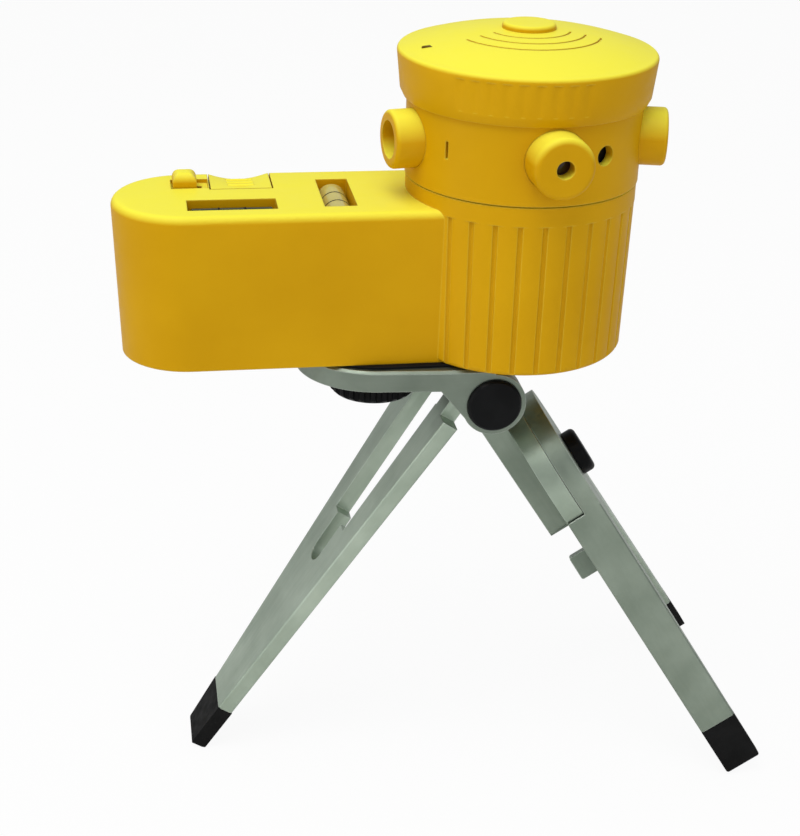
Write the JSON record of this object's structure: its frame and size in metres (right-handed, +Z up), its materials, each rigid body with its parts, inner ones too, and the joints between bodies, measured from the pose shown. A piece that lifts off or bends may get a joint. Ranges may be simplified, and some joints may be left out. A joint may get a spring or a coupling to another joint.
{
  "type": "laser level on folding tripod",
  "caption": "Yellow pocket laser level with a turning multi-nozzle head and spirit vials, screwed to a folding aluminium tripod with rubber feet.",
  "frame": {"origin": "on the ground, under the centre of the whole object's box", "axes": "+Z up along the head's axis, -X along the battery arm, -Y towards the dot nozzle"},
  "size_m": [0.1294, 0.055, 0.1525],
  "materials": {
    "yellow_plastic": "semi-gloss moulded",
    "aluminium": "satin",
    "black_rubber": "matte",
    "black_plastic": "satin",
    "steel": "zinc plated",
    "brass": "turned",
    "clear_glass": "clear",
    "vial_tint": "tinted, clear",
    "circuit_green": "lacquered board",
    "cell_jacket": "printed sleeve, left plain"
  },
  "bodies": {
    "leg_hanger": {"leg_bracket": "aluminium", "pivot_pin": "steel", "pivot_cap": "black_plastic"},
    "head_plate_set": {"head_plate": "aluminium", "rubber_pad": "black_rubber", "hinge_pin": "steel", "hinge_caps": "black_plastic"},
    "thumb_screw": {"thumb_wheel": "black_plastic", "camera_screw": "steel"},
    "leveller": {"base_housing": "yellow_plastic", "bottom_cover": "yellow_plastic", "cover_screws": "steel", "thread_insert": "brass", "battery_tray": "black_plastic", "battery_cells": "cell_jacket", "battery_contacts": "steel", "circuit_board": "circuit_green", "slide_switch": "black_plastic", "long_vial": "vial_tint", "cross_vial": "vial_tint", "laser_module": "brass", "laser_lens": "clear_glass", "laser_board": "circuit_green", "laser_cradle": "black_plastic", "laser_clamp": "steel", "detent_ball": "steel", "detent_spring": "steel", "retaining_ring": "steel", "ring_screws": "steel"},
    "switch": {"switch_knob": "yellow_plastic"},
    "battery_door": {"battery_cover": "yellow_plastic"},
    "head": {"turret": "yellow_plastic", "cap": "yellow_plastic", "centre_plug": "yellow_plastic", "dot_nozzle": "yellow_plastic", "dot_lens": "clear_glass", "horizontal_nozzle": "yellow_plastic", "horizontal_lens": "clear_glass", "cross_nozzle": "yellow_plastic", "cross_lens": "clear_glass", "vertical_nozzle": "yellow_plastic", "vertical_lens": "clear_glass"},
    "broad_leg_set": {"broad_leg": "aluminium", "broad_foot": "black_rubber"},
    "near_leg_set": {"near_leg": "aluminium", "near_foot": "black_rubber"},
    "far_leg_set": {"far_leg": "aluminium", "far_foot": "black_rubber"}
  },
  "joints": [
    {"name": "plate_tilt", "type": "hinge", "parent": "leg_hanger", "child": "head_plate_set", "pos_m": [0.00574, 0.00017, 0.08326], "axis": [0, 1, 0], "range_deg": [-12, 45]},
    {"name": "broad_leg_fold", "type": "hinge", "parent": "leg_hanger", "child": "broad_leg_set", "pos_m": [0.00574, 0.00017, 0.08326], "axis": [0, 1, 0], "range_deg": [-60, 10]},
    {"name": "near_leg_spread", "type": "hinge", "parent": "leg_hanger", "child": "near_leg_set", "pos_m": [0.0208, 0.00017, 0.05989], "axis": [0.8406, 0, 0.5417], "range_deg": [0, 19]},
    {"name": "far_leg_spread", "type": "hinge", "parent": "leg_hanger", "child": "far_leg_set", "pos_m": [0.0208, 0.00017, 0.05989], "axis": [0.8406, 0, 0.5417], "range_deg": [-19, 0]},
    {"name": "thumb_screw_turn", "type": "hinge", "parent": "head_plate_set", "child": "thumb_screw", "pos_m": [-0.01536, 0.00017, 0.08606], "axis": [0, 0, 1], "continuous": true},
    {"name": "leveller_swivel", "type": "hinge", "parent": "head_plate_set", "child": "leveller", "pos_m": [-0.01536, 0.00017, 0.09106], "axis": [0, 0, 1], "continuous": true},
    {"name": "head_turn", "type": "hinge", "parent": "leveller", "child": "head", "pos_m": [0.01204, 0.00017, 0.12406], "axis": [0, 0, 1], "continuous": true},
    {"name": "switch_slide", "type": "slide", "parent": "leveller", "child": "switch", "axis": [1, 0, 0], "range_m": [0, 0.0016]},
    {"name": "battery_door_open", "type": "hinge", "parent": "leveller", "child": "battery_door", "pos_m": [-0.03496, 0.01211, 0.09731], "axis": [-1, 0, 0], "range_deg": [0, 85]}
  ]
}
